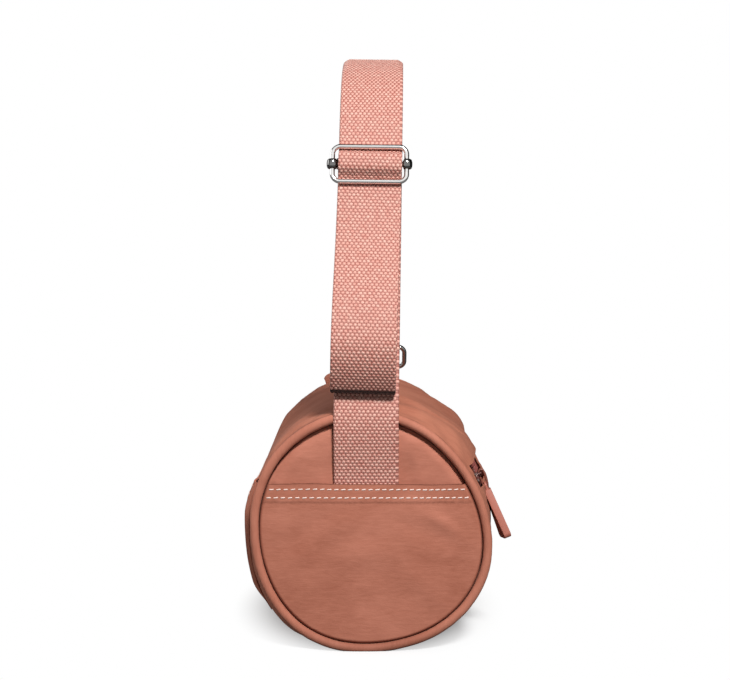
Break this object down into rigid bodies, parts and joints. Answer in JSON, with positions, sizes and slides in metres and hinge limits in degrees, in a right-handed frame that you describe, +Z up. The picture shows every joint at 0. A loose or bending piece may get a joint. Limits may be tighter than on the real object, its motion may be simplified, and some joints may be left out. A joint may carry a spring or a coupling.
{
  "type": "crossbody bag",
  "caption": "Small padded barrel bag with piped ends, slip pockets, a side zip with a hanging puller, and a webbing strap with a wire slider standing over it.",
  "frame": {"origin": "middle of the flat underside on which the bag rests", "axes": "+Z up; the barrel lies along Y with the pictured end at -Y; the zip is on the +X side"},
  "size_m": [0.1545, 0.2498, 0.3531],
  "materials": {
    "outer_fabric": "crinkled matt nylon",
    "panel_fabric": "crinkled matt nylon",
    "piping_fabric": "crinkled matt nylon over cord",
    "lining_fabric": "plain woven lining",
    "foam": "soft foam sheet",
    "binding_tape": "woven binding tape",
    "webbing": "coarse woven cotton webbing",
    "zip_tape": "woven zip tape",
    "zip_teeth": "moulded teeth",
    "zip_metal": "satin lacquer",
    "steel_wire": "bright nickel plate",
    "puller_rubber": "matt moulded rubber"
  },
  "bodies": {
    "bag": {"shell": "outer_fabric", "foam_wrap": "foam", "lining": "lining_fabric", "near_end_panel": "panel_fabric", "far_end_panel": "panel_fabric", "near_end_foam": "foam", "far_end_foam": "foam", "near_seam_binding": "binding_tape", "far_seam_binding": "binding_tape", "near_piping": "piping_fabric", "far_piping": "piping_fabric", "near_end_pocket": "panel_fabric", "far_end_pocket": "panel_fabric", "side_pocket": "outer_fabric", "zip_tape_upper": "zip_tape", "zip_tape_lower": "zip_tape", "zip_teeth_upper": "zip_teeth", "zip_teeth_lower": "zip_teeth", "zip_stops": "zip_metal", "strap": "webbing", "far_ring": "steel_wire", "far_strap_tab": "webbing", "side_loop": "outer_fabric"},
    "strap_slider": {"slider_frame": "steel_wire", "slider_bar": "steel_wire", "strap_tail": "webbing"},
    "zip_runner": {"zip_slider": "zip_metal"},
    "pull_link": {"pull_link": "zip_metal"},
    "puller": {"puller": "puller_rubber"}
  },
  "joints": [
    {"name": "strap_slider_travel", "type": "slide", "parent": "bag", "child": "strap_slider", "axis": [0.0151, 0.2281, 0.9735], "range_m": [-0.06, 0.008]},
    {"name": "zip_travel", "type": "slide", "parent": "bag", "child": "zip_runner", "axis": [0, 1, 0], "range_m": [0, 0.188], "deforming": ["zip_teeth_upper", "zip_teeth_lower"]},
    {"name": "pull_link_swing", "type": "hinge", "parent": "zip_runner", "child": "pull_link", "pos_m": [0.0657, -0.094, 0.10085], "axis": [0, -1, 0], "range_deg": [0, 150]},
    {"name": "puller_swing", "type": "hinge", "parent": "pull_link", "child": "puller", "pos_m": [0.06851, -0.094, 0.09282], "axis": [0.9438, 0, 0.3304], "range_deg": [-70, 70]}
  ]
}
